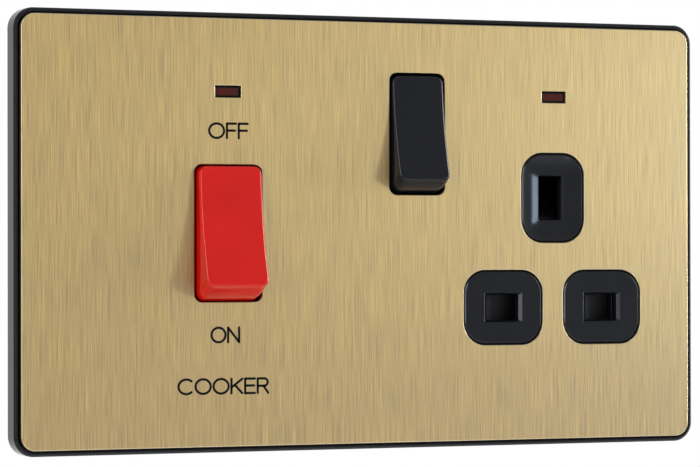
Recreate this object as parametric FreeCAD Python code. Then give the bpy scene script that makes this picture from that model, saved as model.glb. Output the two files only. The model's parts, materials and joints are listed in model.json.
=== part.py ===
import FreeCAD, Part
import math
import os

# Cooker control unit for a double wall box: a double-pole cooker switch beside a switched,
# shuttered three-pin socket, under a clip-on metal front plate.
# Millimetres. The wall is the plane Y = 0, the room is towards -Y, X runs right and Z up.
# The origin lies midway between the two wall screws.

V = FreeCAD.Vector
ALONG_X = V(1, 0, 0)
ALONG_Y = V(0, 1, 0)
ALONG_Z = V(0, 0, 1)

# Front plate
plate_gap_x = 0.5  # from its edges to the frame's rim
plate_gap_z = 0.4
plate_corner = 2.75
plate_thickness = 1.2
plate_edge = 0.3
plate_face = 4.95  # its face, in front of the wall
island_gap = 0.18  # black line round the three socket inserts

# Mounting frame
left_margin = 23.0  # from the rear housing to the frame's edges
right_margin = 13.0
end_margin = 8.8
frame_corner = 3.9
frame_edge = 0.35
rim_width = 0.75
rim_setback = 0.7  # rim behind the plate's face
skirt_wall = 2.2
floor_thickness = 1.7
channel_width = 1.2  # dark groove under the plate's edge
channel_depth = 0.8
rib_thickness = 1.2
rib_height = 1.5
rib_spacing_x = 20.0
rib_spacing_z = 14.3

# Wall screws, in the cups under the plate
wall_screw_inset = 12.7  # from the frame's ends, for screws 120.6 mm apart
wall_screw_hole = 1.9  # radius, for a 3.5 mm screw
cup_radius = 4.2
cup_wall = 1.4
cup_floor = 1.4

# Three-pin socket
pin_row_z = -15.1  # line and neutral
pin_spacing = 22.23  # between line and neutral, and from them up to earth
insert_width = 17.3
insert_height = 14.8
earth_insert_width = 13.85
earth_insert_height = 17.9
insert_corner = 4.6
insert_edge = 0.35
slot_width = 7.1
slot_height = 5.15
slot_flare_x = 0.7
slot_flare_z = 0.43
slot_flare_depth = 0.6
dish_corner = 0.6
slot_wall = 2.0
earth_slot_width = 4.9
earth_slot_height = 8.6
earth_flare_x = 0.4
earth_flare_z = 0.3
dish_depth = 0.9  # hollow of the earth insert round its slot
dish_middle = 0.62  # share of the hollow's margin at its middle ring
dish_middle_depth = 0.55  # share of its depth there
dish_foot = 0.02  # share of its margin at its foot

# Rocker switches
cooker_z = -0.2
cooker_window_height = 26.8
cooker_window_corner = 1.5
cooker_side_gap = 0.525  # each side of the rocker in its window
cooker_end_gap = 0.1  # from its round ends to its well
cooker_face_distance = 6.65  # from the pivot to the middle of the face
cooker_face_half = 11.98  # half the length of the face
cooker_tilt = 10.75
switch_window_width = 12.0
switch_window_height = 24.35
switch_window_corner = 1.6
switch_side_gap = 0.45
switch_end_gap = 0.225
switch_top_gap = 0.095  # from the well's wall to the housing's
switch_face_distance = 5.45
switch_face_half = 10.75
switch_tilt = 10.6
pivot_depth = 3.6  # pivot axis behind the plate's face
pivot_radius = 1.5
running_clearance = 0.05
rocker_hollow = 76.0  # radius of the concave face
rocker_edge = 0.42
rocker_corner = 1.55  # cut off the corners of its outline
rocker_wall = 1.3
rocker_face_wall = 1.7
rocker_back = 1.5  # behind the pivot
well_gap = 0.2  # from the window's edges to the well's walls
well_wall = 0.7
well_depth = 5.25
bearing_boss = 0.9
bearing_boss_half = 2.6
pin_end_gap = 0.3

# Spring plungers in the rockers
pole_gap = 0.95  # from each pole's ears to the cooker rocker's middle
tube_inset = 0.5  # from the rocker's sides to the plungers' tubes
plunger_radius = 1.65
plunger_gap = 0.2  # from the end of the nose to its contact
plunger_length = 7.3
nose_length = 1.3
nose_radius = 0.7
tube_half = 2.4
tube_end = 7.0
bore_bottom = -1.5
plunger_wire = 0.35
plunger_coils = 4
spring_steps = 6  # straight pieces in each turn of a spring

# Rocking contacts and the brackets that carry them
metal = 0.8  # sheet of the straps and brackets
contact_pivot_depth = 9.85  # behind the wall plane
contact_thickness = 1.0
contact_width = 3.4
contact_half_length = 8.4
contact_tilt = 8.0
tab_half = 0.5
tab_gap = 0.15
pad_half = 1.3
pad_height = 0.8
pad_offset = 7.0
ear_gap = 0.15
ear_half = 2.4
ear_front = 1.3  # in front of the contact's pivot
strap_step = 3.35  # from the contacts' pivots to the bracket bases
strap_width = 4.4
fixed_pad_height = 0.75
fixed_pad_offset = 6.75
bracket_reach = 2.6

# Terminals
terminal_offset = 6.2
terminal_width = 9.6
terminal_depth = 10.0
terminal_length = 11.0
terminal_step = 1.4  # behind the straps
terminal_chamfer = 0.6
terminal_gap = 0.5  # to the housing's wall
cable_half = 3.2
entry_gap = 0.6
earth_terminal_gap = 7.36  # between the neutral and earth terminals
pillar_gap = 1.64  # between the line terminals and the housing's pillars
terminal_screw_radius = 2.05
terminal_screw_tip = 1.5
terminal_screw_stand = 1.2
screw_access_half = 3.2
slot_depth = 0.8
slot_half = 0.35

# Spring clips that grip the plug's pins
grip_half = 2.15
grip_body_half = 2.4
grip_flare_half = 3.1
grip_lead_in = 2.0  # from the mouth to where the clip touches the pin
grip_reach = 4.5  # from the mouth to its straight body
grip_width = 6.4
grip_front = 3.4
earth_grip_front = 9.6
earth_grip_width = 7.0

# Straps between the terminals and the socket
busbar_step = 2.2  # behind the bracket bases
busbar_width = 3.6
busbar_rise = 3.4  # above the supply terminals
neutral_bar_overlap = 2.2  # onto the neutral terminal
earth_strap_step = 1.8  # behind the line busbar
earth_riser_offset = 4.84  # right of the socket's switch
earth_link_gap = 2.7  # right of the earth terminals
earth_run_z = 3.0
switch_gap = 3.06  # from the earth link to the wall beside the switch
line_riser_gap = 1.14  # from the wall on its other side
line_clip_gap = 2.435
line_run_gap = 1.3  # under the housing's top wall

# Shutter behind the socket's face
shutter_front = 0.3
shutter_thickness = 1.8
shutter_side_overlap = 0.735  # beyond the pin slots
shutter_overlap = 0.4  # above them
shutter_bottom = 4.9  # below the pin row
shutter_travel = 6.2
shutter_stem_half = 4.5
ramp_gap = 0.3
ramp_half_width = 3.0
ramp_depth = 6.4
ramp_back = 1.5
guide_gap = 0.15
guide_wall = 1.0
guide_lip = 0.8
guide_side_gap = 1.4  # from the guides to the housing's wall
shutter_spring_radius = 2.0
shutter_spring_length = 11.4
shutter_spring_wire = 0.45
shutter_spring_coils = 6
spring_peg_half = 0.9
spring_peg_length = 2.4
spring_ledge = 1.2
spring_ledge_gap = 0.3  # above the housing's bottom wall

# Neon indicators
neon_width = 5.42
neon_height = 2.33
cooker_neon_drop = 5.38  # under the housing's top wall
socket_neon_drop = 5.29
socket_neon_shift = 0.3  # right of the socket's middle
lens_gap = 0.22
lens_recess = 0.6  # behind the plate's face
lens_flange_width = 8.0
lens_flange_height = 3.5
lens_flange = 0.9
collar_gap = 0.15
collar_wall = 0.9
collar_depth = 4.7
lamp_radius = 1.55
lamp_length = 7.8
lamp_gap = 0.25
lamp_tip = 1.5
lead_half = 0.3
lead_end = 1.2
resistor_radius = 1.1
resistor_length = 5.5
resistor_gap = 3.0

# Rear housing
housing_corner = 3.0
housing_wall = 1.3
housing_back = 1.6
housing_chamfer = 1.0
notch_gap = 1.2  # from the right-hand screw cup
barrier = 1.2
barrier_front = 4.0
barrier_bottom = -16.4
post_half = 2.0

# Screws that hold the housing to the frame
pillar_inset = 4.4
pillar_inset_right = 5.6
pillar_inset_z = 4.6
pillar_half = 3.3
pillar_front = 1.5
pillar_seat = 5.0
boss_half = 2.5
peg_half = 1.4
peg_length = 3.0
assembly_screw_radius = 1.3
assembly_head_radius = 2.6
assembly_head_height = 1.8
assembly_screw_length = 6.6

# Sheet clips between the plate and the frame
clip_inset = 4.55  # from the plate's upper and lower edges
clip_sheet = 0.5
clip_width = 6.0
clip_foot = 4.3
clip_barb = 0.6
clip_gap = 0.15

# Levels along Y that follow from the sizes above
face_y = -plate_face
seat_y = face_y + plate_thickness
rim_y = face_y + rim_setback
floor_y = seat_y + floor_thickness
pivot_y = face_y + pivot_depth
well_y = floor_y + well_depth
plunger_tip = contact_pivot_depth - contact_thickness / 2 - pivot_y - plunger_gap
strap_front = contact_pivot_depth + strap_step
strap_y = strap_front + metal
busbar_front = strap_y + busbar_step
earth_strap_front = busbar_front + busbar_width + earth_strap_step
terminal_front = strap_y + terminal_step
cable_y = terminal_front + terminal_depth / 2
back_y = terminal_front + terminal_depth
housing_depth = back_y + housing_back

# Levels along Z, from the socket's pins down to the housing's bottom wall and up again
earth_z = pin_row_z + pin_spacing
spring_ledge_z = pin_row_z - shutter_bottom - shutter_spring_length
inner_half = spring_ledge + spring_ledge_gap - spring_ledge_z
housing_half = inner_half + housing_wall
frame_height = 2 * (housing_half + end_margin)
plate_height = frame_height - 2 * (rim_width + plate_gap_z)
clip_z = plate_height / 2 - clip_inset
terminal_z = inner_half - terminal_gap - terminal_length / 2
terminal_inner = terminal_z - terminal_length / 2
busbar_z = busbar_rise - terminal_inner
neutral_bar_z = -terminal_inner - neutral_bar_overlap
line_run_z = inner_half - line_run_gap - strap_width / 2
cooker_neon_z = inner_half - cooker_neon_drop
socket_neon_z = inner_half - socket_neon_drop
switch_z = inner_half - switch_top_gap - well_wall - well_gap - switch_window_height / 2
cooker_end_radius = cooker_window_height / 2 + well_gap - cooker_end_gap
switch_end_radius = switch_window_height / 2 + well_gap - switch_end_gap

# Widths of the rockers, the shutter and the runs along X
pole_offset = pole_gap + contact_width / 2 + ear_gap + metal
cooker_rocker_width = 2 * (pole_offset + tube_half + tube_inset)
cooker_window_width = cooker_rocker_width + 2 * cooker_side_gap
switch_rocker_width = switch_window_width - 2 * switch_side_gap
shutter_half_width = pin_spacing / 2 + slot_width / 2 + shutter_side_overlap
cooker_run = pillar_inset + pillar_half + pillar_gap + terminal_width / 2 + terminal_offset
earth_run = cooker_run + terminal_offset + terminal_width + earth_terminal_gap
link_run = earth_run + terminal_width / 2 + earth_link_gap
switch_run = link_run + switch_gap + barrier / 2 + switch_window_width / 2
riser_run = switch_run + switch_window_width / 2 + 1.5 * barrier + line_riser_gap + strap_width / 2
line_run = riser_run + strap_width / 2 + line_clip_gap + grip_width / 2
socket_run = line_run + pin_spacing / 2
housing_width = (socket_run + shutter_half_width + guide_gap + guide_wall + guide_side_gap
                 + housing_wall)
frame_width = left_margin + housing_width + right_margin
plate_width = frame_width - 2 * (rim_width + plate_gap_x)

# Places along X, from the housing's left wall
housing_left = left_margin - frame_width / 2
housing_right = housing_left + housing_width
cooker_x = housing_left + cooker_run
earth_terminal_x = housing_left + earth_run
earth_link_x = housing_left + link_run
switch_x = housing_left + switch_run
earth_riser_x = switch_x + earth_riser_offset
line_riser_x = housing_left + riser_run
line_x = housing_left + line_run
socket_x = housing_left + socket_run
neutral_x = socket_x + pin_spacing / 2
socket_neon_x = socket_x + socket_neon_shift
line_pole_x = cooker_x - pole_offset
neutral_pole_x = cooker_x + pole_offset
wall_screw_x = frame_width / 2 - wall_screw_inset
notch_left = wall_screw_x - cup_radius - cup_wall - notch_gap
notch_half = cup_radius + cup_wall + 2 * notch_gap
clip_x = 2.5 * rib_spacing_x  # midway between two ribs


def outline(x, z, width, height, corner, y):
    """Closed rectangle with round corners, facing along Y."""
    right = x + width / 2
    left = x - width / 2
    top = z + height / 2
    bottom = z - height / 2
    bow = corner * (1 - math.sqrt(0.5))
    edges = [
        Part.makeLine(V(left + corner, y, bottom), V(right - corner, y, bottom)),
        Part.Arc(V(right - corner, y, bottom), V(right - bow, y, bottom + bow),
                 V(right, y, bottom + corner)).toShape(),
        Part.makeLine(V(right, y, bottom + corner), V(right, y, top - corner)),
        Part.Arc(V(right, y, top - corner), V(right - bow, y, top - bow),
                 V(right - corner, y, top)).toShape(),
        Part.makeLine(V(right - corner, y, top), V(left + corner, y, top)),
        Part.Arc(V(left + corner, y, top), V(left + bow, y, top - bow),
                 V(left, y, top - corner)).toShape(),
        Part.makeLine(V(left, y, top - corner), V(left, y, bottom + corner)),
        Part.Arc(V(left, y, bottom + corner), V(left + bow, y, bottom + bow),
                 V(left + corner, y, bottom)).toShape(),
    ]
    return Part.Wire(edges)


def rounded_block(x, z, width, height, corner, front, back):
    """Block with round corners from the level front to the level back."""
    face = Part.Face(outline(x, z, width, height, corner, front))
    return face.extrude(V(0, back - front, 0))


def block(x_range, y_range, z_range):
    """Plain block between the given ends."""
    low = V(x_range[0], y_range[0], z_range[0])
    return Part.makeBox(x_range[1] - x_range[0], y_range[1] - y_range[0],
                        z_range[1] - z_range[0], low)


def corner_cut_block(half_x, half_z, cut, front, back):
    """Block about the Y axis with its four long edges cut off."""
    near_x = half_x - cut
    near_z = half_z - cut
    corners = [(near_x, half_z), (half_x, near_z), (half_x, -near_z), (near_x, -half_z)]
    corners += [(-x, z) for x, z in corners[::-1]]
    points = [V(x, front, z) for x, z in corners + corners[:1]]
    return Part.Face(Part.makePolygon(points)).extrude(V(0, back - front, 0))


def around(centre, half):
    """The two ends of a span about its centre."""
    return (centre - half, centre + half)


def rod(radius, start, end):
    """Round bar from one point to another."""
    run = end - start
    return Part.makeCylinder(radius, run.Length, start, run)


def bent_strip(path, thickness, across):
    """Sheet metal folded along a path of points, as wide as the vector across."""
    side = V(across).normalize()
    runs = [(path[i + 1] - path[i]).normalize() for i in range(len(path) - 1)]
    normals = [run.cross(side) for run in runs]
    outer = []
    inner = []
    for i, point in enumerate(path):
        first = normals[max(i - 1, 0)]
        second = normals[min(i, len(runs) - 1)]
        shift = (first + second) * (thickness / 2 / (1 + first.dot(second)))
        outer.append(point + shift)
        inner.append(point - shift)
    corners = outer + inner[::-1] + outer[:1]
    return Part.Face(Part.makePolygon(corners)).extrude(across)


def coil_spring(coil_radius, wire, length, coils):
    """Compression spring of square wire, standing on the origin along +Z."""
    rings = []
    for i in range(coils * spring_steps + 1):
        turn = 2 * math.pi * i / spring_steps
        height = wire / 2 + (length - wire) * i / (coils * spring_steps)
        ring = []
        for out, up in ((-1, -1), (1, -1), (1, 1), (-1, 1)):
            reach = coil_radius + out * wire / 2
            ring.append(V(reach * math.cos(turn), reach * math.sin(turn), height + up * wire / 2))
        rings.append(ring)
    faces = [Part.Face(Part.makePolygon(ring + ring[:1])) for ring in (rings[0], rings[-1])]
    for low, high in zip(rings, rings[1:]):
        for i in range(4):
            j = (i + 1) % 4
            faces.append(Part.Face(Part.makePolygon([low[i], low[j], high[j], low[i]])))
            faces.append(Part.Face(Part.makePolygon([low[i], high[j], high[i], low[i]])))
    spring = Part.Solid(Part.makeShell(faces))
    if spring.Volume < 0:
        spring.reverse()
    return spring


def front_edges(shape, level):
    """Edges of a shape that lie wholly at one level along Y."""
    return [edge for edge in shape.Edges
            if abs(edge.BoundBox.YMin - level) < 0.001 and abs(edge.BoundBox.YMax - level) < 0.001]


def tilted(shape, x, z, tilt, depth):
    """Turn a piece made about its own pivot to its rest angle and carry it to its place."""
    copy = shape.copy()
    copy.rotate(V(0, 0, 0), ALONG_X, tilt)
    copy.translate(V(x, depth, z))
    return copy


# Front plate and its clips

def insert_outline(x, z, width, height, grow, front, back):
    """Body of one raised socket insert, or the window round it when grow is its gap."""
    return rounded_block(x, z, width + 2 * grow, height + 2 * grow, insert_corner + grow,
                         front, back)


def inserts(grow, front, back):
    """The three raised socket inserts."""
    return [
        insert_outline(line_x, pin_row_z, insert_width, insert_height, grow, front, back),
        insert_outline(neutral_x, pin_row_z, insert_width, insert_height, grow, front, back),
        insert_outline(socket_x, earth_z, earth_insert_width, earth_insert_height, grow,
                       front, back),
    ]


def rocker_windows(front, back):
    """Openings for the two rockers."""
    return [
        rounded_block(cooker_x, cooker_z, cooker_window_width, cooker_window_height,
                      cooker_window_corner, front, back),
        rounded_block(switch_x, switch_z, switch_window_width, switch_window_height,
                      switch_window_corner, front, back),
    ]


def neon_places():
    """Centres of the two indicator windows."""
    return [(cooker_x, cooker_neon_z), (socket_neon_x, socket_neon_z)]


def neon_windows(front, back):
    """Openings for the two indicators."""
    return [block(around(x, neon_width / 2), (front, back), around(z, neon_height / 2))
            for x, z in neon_places()]


def front_plate():
    plate = rounded_block(0, 0, plate_width, plate_height, plate_corner, face_y, seat_y)
    plate = plate.makeChamfer(plate_edge, front_edges(plate, face_y))
    cuts = rocker_windows(face_y, seat_y) + neon_windows(face_y, seat_y)
    return plate.cut(cuts + inserts(island_gap, face_y, seat_y))


def clip_places():
    """The four clips, as X and the side along Z."""
    return [(x, side) for x in (-clip_x, clip_x) for side in (-1, 1)]


def plate_clips():
    clips = []
    foot_y = seat_y + clip_sheet / 2
    barb_y = floor_y + clip_sheet + clip_gap
    for x, side in clip_places():
        path = [V(x - clip_width / 2, y, side * z) for y, z in (
            (foot_y, clip_z - clip_foot),
            (foot_y, clip_z),
            (floor_y + clip_gap, clip_z),
            (barb_y + clip_gap, clip_z + clip_barb),
            (barb_y + clip_barb + clip_gap, clip_z - clip_gap),
        )]
        clips.append(bent_strip(path, clip_sheet, V(clip_width, 0, 0)))
    return Part.makeCompound(clips)


def clip_openings():
    """Pocket for each clip's foot and slot for its leg."""
    cuts = []
    reach = clip_sheet / 2 + clip_gap
    for x, side in clip_places():
        ends = sorted((side * (clip_z - clip_foot - clip_gap), side * (clip_z + reach)))
        leg = sorted((side * (clip_z - reach), side * (clip_z + reach)))
        across = around(x, clip_width / 2 + clip_gap)
        cuts.append(block(across, (seat_y, seat_y + clip_sheet + clip_gap), ends))
        cuts.append(block(across, (seat_y, floor_y), leg))
    return cuts


# Mounting frame

def frame_shell():
    """Outer skirt, rim and floor, with the groove round the plate."""
    shell = rounded_block(0, 0, frame_width, frame_height, frame_corner, rim_y, 0)
    shell = shell.makeChamfer(frame_edge, front_edges(shell, rim_y))
    inner_width = frame_width - 2 * rim_width
    inner_height = frame_height - 2 * rim_width
    inner_corner = frame_corner - rim_width
    recess = rounded_block(0, 0, inner_width, inner_height, inner_corner, rim_y, seat_y)
    groove = rounded_block(0, 0, inner_width, inner_height, inner_corner,
                           seat_y, seat_y + channel_depth)
    bed = rounded_block(0, 0, inner_width - 2 * channel_width, inner_height - 2 * channel_width,
                        inner_corner - channel_width, seat_y, seat_y + channel_depth)
    hollow = block(around(0, frame_width / 2 - skirt_wall), (floor_y, 0),
                   around(0, frame_height / 2 - skirt_wall))
    return shell.cut([recess, groove.cut(bed), hollow])


def raised_inserts():
    """Socket inserts that stand up through the plate, with softened edges."""
    raised = []
    for insert in inserts(0, face_y, seat_y):
        raised.append(insert.makeChamfer(insert_edge, front_edges(insert, face_y)))
    return raised


def square_outline(x, z, width, height, y):
    """Closed rectangle with sharp corners, facing along Y."""
    signs = ((-1, -1), (1, -1), (1, 1), (-1, 1), (-1, -1))
    return Part.makePolygon([V(x + right * width / 2, y, z + up * height / 2)
                             for right, up in signs])


def flared_slot(x, z, width, height, flare_x, flare_z, front, back):
    """Pin slot with a sloping lead-in at its front."""
    mouth = square_outline(x, z, width + 2 * flare_x, height + 2 * flare_z, front)
    throat = square_outline(x, z, width, height, front + slot_flare_depth)
    lead_in = Part.makeLoft([mouth, throat], True, True)
    return [lead_in, block(around(x, width / 2), (front, back), around(z, height / 2))]


def socket_cuts():
    """Pin slots, the dish round the earth slot and the relief behind the face."""
    cuts = []
    for x in (line_x, neutral_x):
        cuts += flared_slot(x, pin_row_z, slot_width, slot_height, slot_flare_x, slot_flare_z,
                            face_y, floor_y)
        cuts.append(block(around(x, slot_width / 2 + slot_wall), (face_y + slot_wall, floor_y),
                          around(pin_row_z, slot_height / 2 + slot_wall)))
    dish_y = face_y + dish_depth
    cuts += flared_slot(socket_x, earth_z, earth_slot_width, earth_slot_height, earth_flare_x,
                        earth_flare_z, dish_y, floor_y)
    mouth_width = earth_slot_width + 2 * earth_flare_x
    mouth_height = earth_slot_height + 2 * earth_flare_z
    margin_x = earth_insert_width - 2 * insert_edge - mouth_width
    margin_z = earth_insert_height - 2 * insert_edge - mouth_height
    rings = []
    for share, depth in ((1.0, 0.0), (dish_middle, dish_middle_depth), (dish_foot, 1.0)):
        corner = dish_corner + (insert_corner - insert_edge - dish_corner) * share
        rings.append(outline(socket_x, earth_z, mouth_width + margin_x * share,
                             mouth_height + margin_z * share, corner,
                             face_y + depth * dish_depth))
    cuts.append(Part.makeLoft(rings, True, False))
    return cuts


def rocker_wells():
    """Walls round each rocker, with a boss on each side for its pivot pin."""
    walls = well_blocks(well_gap + well_wall, floor_y)
    for x, z, width, height in rocker_places():
        reach = well_half(width) + well_wall + bearing_boss
        walls.append(block(around(x, reach), (floor_y, pivot_y + bearing_boss_half),
                           around(z, bearing_boss_half)))
    return walls


def rocker_places():
    """Centre and window size of each rocker."""
    return [(cooker_x, cooker_z, cooker_window_width, cooker_window_height),
            (switch_x, switch_z, switch_window_width, switch_window_height)]


def well_blocks(grow, front):
    """Block round each rocker's window from the level front to the back of its well."""
    return [block(around(x, width / 2 + grow), (front, well_y), around(z, height / 2 + grow))
            for x, z, width, height in rocker_places()]


def well_half(window_width):
    return window_width / 2 + well_gap


def pivot_reach(window_width):
    """Half the length of a rocker over its pivot pins."""
    return well_half(window_width) + well_wall + bearing_boss - pin_end_gap


def pivot_holes():
    holes = []
    for x, z, width, height in rocker_places():
        reach = pivot_reach(width) + running_clearance
        holes.append(rod(pivot_radius + running_clearance, V(x - reach, pivot_y, z),
                         V(x + reach, pivot_y, z)))
    return holes


def screw_cups():
    """Cups that take the heads of the two wall screws, under the plate."""
    half = cup_radius + cup_wall
    return [block(around(x, half), (floor_y, 0), around(0, half)) for x in wall_screw_xs()]


def wall_screw_xs():
    return (-wall_screw_x, wall_screw_x)


def cup_cuts():
    cuts = []
    for x in wall_screw_xs():
        cuts.append(rod(cup_radius, V(x, seat_y, 0), V(x, -cup_floor, 0)))
        cuts.append(rod(wall_screw_hole, V(x, -cup_floor, 0), V(x, 0, 0)))
    return cuts


def neon_collars():
    """Box round each indicator behind the frame's floor."""
    collars = []
    width = lens_flange_width + 2 * collar_gap
    height = lens_flange_height + 2 * collar_gap
    for x, z in neon_places():
        depth = (floor_y, floor_y + collar_depth)
        outer = block(around(x, width / 2 + collar_wall), depth,
                      around(z, height / 2 + collar_wall))
        collars.append(outer.cut(block(around(x, width / 2), depth, around(z, height / 2))))
    return collars


def shutter_guides():
    """Rails that the shutter slides in, and the ledge under its spring."""
    guides = []
    low = pin_row_z - shutter_bottom - shutter_travel
    high = pin_row_z + slot_height / 2 + shutter_overlap
    back = shutter_front + shutter_thickness
    for side in (-1, 1):
        edge = socket_x + side * (shutter_half_width + guide_gap)
        outside = edge + side * guide_wall
        inside = edge - side * guide_lip
        guides.append(block(sorted((edge, outside)), (floor_y, back + guide_gap + guide_wall),
                            (low, high)))
        guides.append(block(sorted((inside, outside)),
                            (back + guide_gap, back + guide_gap + guide_wall), (low, high)))
        guides.append(block(sorted((inside, outside)), (floor_y, shutter_front - guide_gap),
                            (low, high)))
    reach = 2 * shutter_spring_radius
    guides.append(block(around(socket_x, reach), (floor_y, spring_axis_y() + reach),
                        (spring_ledge_z - spring_ledge, spring_ledge_z)))
    guides.append(block(around(socket_x, spring_peg_half), around(spring_axis_y(), spring_peg_half),
                        (spring_ledge_z, spring_ledge_z + spring_peg_length)))
    return guides


def spring_axis_y():
    return shutter_front + shutter_thickness / 2


def corner_place(right, up):
    """Centre of one of the housing's four corner pillars."""
    z = up * (housing_half - pillar_inset_z)
    if right > 0:
        return (housing_right - pillar_inset_right, z)
    return (housing_left + pillar_inset, z)


def screw_places():
    return [corner_place(-1, -1), corner_place(1, 1)]


def peg_places():
    return [corner_place(-1, 1), corner_place(1, -1)]


def housing_bosses():
    """Bosses that the housing's pillars stand on, with a locating peg on two of them."""
    bosses = [block(around(x, boss_half), (floor_y, pillar_front), around(z, boss_half))
              for x, z in screw_places() + peg_places()]
    pegs = [block(around(x, peg_half), (pillar_front, pillar_front + peg_length),
                  around(z, peg_half)) for x, z in peg_places()]
    return bosses + pegs


def boss_holes():
    tip = pillar_seat - assembly_screw_length - running_clearance
    return [rod(assembly_screw_radius + running_clearance, V(x, tip, z), V(x, pillar_front, z))
            for x, z in screw_places()]


def floor_ribs():
    """Stiffening ribs on the back of the floor, round the housing."""
    ribs = []
    depth = (floor_y, floor_y + rib_height)
    top = frame_height / 2 - skirt_wall
    for i in range(-3, 4):
        for side in (-1, 1):
            ends = sorted((side * (housing_half + rib_thickness), side * top))
            ribs.append(block(around(i * rib_spacing_x, rib_thickness / 2), depth, ends))
    inner = frame_width / 2 - skirt_wall
    for i in (-2, -1, 1, 2):
        z = i * rib_spacing_z
        ribs.append(block((-inner, housing_left - rib_thickness), depth,
                          around(z, rib_thickness / 2)))
        ribs.append(block((housing_right + rib_thickness, inner), depth,
                          around(z, rib_thickness / 2)))
    return ribs


def mounting_frame():
    solid = frame_shell()
    additions = raised_inserts() + rocker_wells() + screw_cups() + neon_collars()
    additions += shutter_guides() + housing_bosses() + floor_ribs()
    solid = solid.fuse(additions)
    cuts = socket_cuts() + well_blocks(well_gap, seat_y) + pivot_holes()
    cuts += cup_cuts() + neon_windows(seat_y, floor_y) + boss_holes() + clip_openings()
    return solid.cut(cuts).removeSplitter()


# Rockers, plungers and their springs

def rocker(width, window_width, end_radius, face_distance, face_half, pole_xs):
    """Rocker about its own pivot, its concave face towards -Y."""
    half = width / 2
    body = rod(end_radius, V(-half, 0, 0), V(half, 0, 0))
    head = block((-half, half), (-face_distance - rocker_wall, 0), around(0, face_half))
    body = body.fuse(head).removeSplitter()
    hollow_y = -(face_distance + rocker_hollow)
    hollow = rod(rocker_hollow, V(-half, hollow_y, 0), V(half, hollow_y, 0))
    behind = block((-half, half), (rocker_back, 2 * end_radius), around(0, 2 * end_radius))
    body = body.cut([hollow, behind])
    rim = [edge for edge in body.Edges
           if all(abs(math.hypot(end.Y - hollow_y, end.Z) - rocker_hollow) < 0.001
                  for end in edge.Vertexes)]
    body = body.makeChamfer(rocker_edge, rim)
    body = body.common(corner_cut_block(half, end_radius, rocker_corner, -end_radius, end_radius))
    inside_y = -(face_distance - rocker_face_wall)
    inside = block(around(0, half - rocker_wall), (inside_y, rocker_back),
                   around(0, end_radius - 2 * rocker_wall))
    body = body.cut(inside)
    parts = [block(around(0, half - rocker_wall), (inside_y, rocker_back), around(0, rocker_wall / 2))]
    parts += [block(around(x, tube_half), (inside_y, tube_end), around(0, tube_half)) for x in pole_xs]
    reach = pivot_reach(window_width)
    for side in (-1, 1):
        parts.append(rod(pivot_radius, V(side * (half - rocker_wall / 2), 0, 0), V(side * reach, 0, 0)))
    bores = [rod(plunger_radius + running_clearance, V(x, bore_bottom, 0), V(x, tube_end, 0))
             for x in pole_xs]
    return body.fuse(parts).cut(bores).removeSplitter()


def plunger(x):
    """Round-nosed plunger, as it lies in the rocker's tube."""
    tail = plunger_tip - plunger_length
    shoulder = plunger_tip - nose_length
    stem = rod(plunger_radius, V(x, tail, 0), V(x, shoulder, 0))
    nose = Part.makeCone(plunger_radius, nose_radius, nose_length, V(x, shoulder, 0), ALONG_Y)
    return stem.fuse(nose)


def plunger_spring(x):
    """Spring between the bottom of the bore and the plunger."""
    length = plunger_tip - plunger_length - bore_bottom
    coil_radius = plunger_radius - plunger_wire
    spring = coil_spring(coil_radius, plunger_wire, length, plunger_coils)
    spring.rotate(V(0, 0, 0), ALONG_X, -90)
    spring.translate(V(x, bore_bottom, 0))
    return spring


def rocker_nodes():
    """Both rockers with what moves in them, at rest in the OFF position."""
    cooker = rocker(cooker_rocker_width, cooker_window_width, cooker_end_radius,
                    cooker_face_distance, cooker_face_half, (-pole_offset, pole_offset))
    switch = rocker(switch_rocker_width, switch_window_width, switch_end_radius,
                    switch_face_distance, switch_face_half, (0,))
    at_cooker = (cooker_x, cooker_z, -cooker_tilt, pivot_y)
    at_switch = (switch_x, switch_z, -switch_tilt, pivot_y)
    return {
        "cooker_rocker": tilted(cooker, *at_cooker),
        "cooker_line_plunger": tilted(plunger(-pole_offset), *at_cooker),
        "cooker_neutral_plunger": tilted(plunger(pole_offset), *at_cooker),
        "cooker_line_plunger_spring": tilted(plunger_spring(-pole_offset), *at_cooker),
        "cooker_neutral_plunger_spring": tilted(plunger_spring(pole_offset), *at_cooker),
        "socket_rocker": tilted(switch, *at_switch),
        "socket_plunger": tilted(plunger(0), *at_switch),
        "socket_plunger_spring": tilted(plunger_spring(0), *at_switch),
    }


# Contacts

def rocking_contact():
    """See-saw contact about its own tabs, with its silver pad on the upper end."""
    bar = block(around(0, contact_width / 2), around(0, contact_thickness / 2),
                around(0, contact_half_length))
    corners = [edge for edge in bar.Edges if edge.BoundBox.YLength > contact_thickness / 2]
    bar = bar.makeChamfer(contact_width / 4, corners)
    back = contact_thickness / 2
    pad = block(around(0, pad_half), (back, back + pad_height), around(pad_offset, pad_half))
    reach = contact_width / 2 + ear_gap + metal
    tabs = block(around(0, reach), around(0, back), around(0, tab_half))
    return bar.fuse([tabs, pad]).removeSplitter()


def bracket_ears(x, z):
    """Two upright ears that carry a rocking contact on its tabs."""
    ears = []
    inner = contact_width / 2 + ear_gap
    for side in (-1, 1):
        ears.append(block(sorted((x + side * inner, x + side * (inner + metal))),
                          (contact_pivot_depth - ear_front, strap_y), around(z, ear_half)))
    return ears


def bracket_base(x, z):
    half = contact_width / 2 + ear_gap + metal
    return block(around(x, half), (strap_front, strap_y), around(z, bracket_reach))


def ear_notches(x, z):
    """Notches, open to the front, that the contact's tabs rock in."""
    bottom = contact_pivot_depth + contact_thickness / 2 + tab_gap
    return block(around(x, contact_width), (contact_pivot_depth - 2 * ear_front, bottom),
                 around(z, tab_half + tab_gap))


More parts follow.
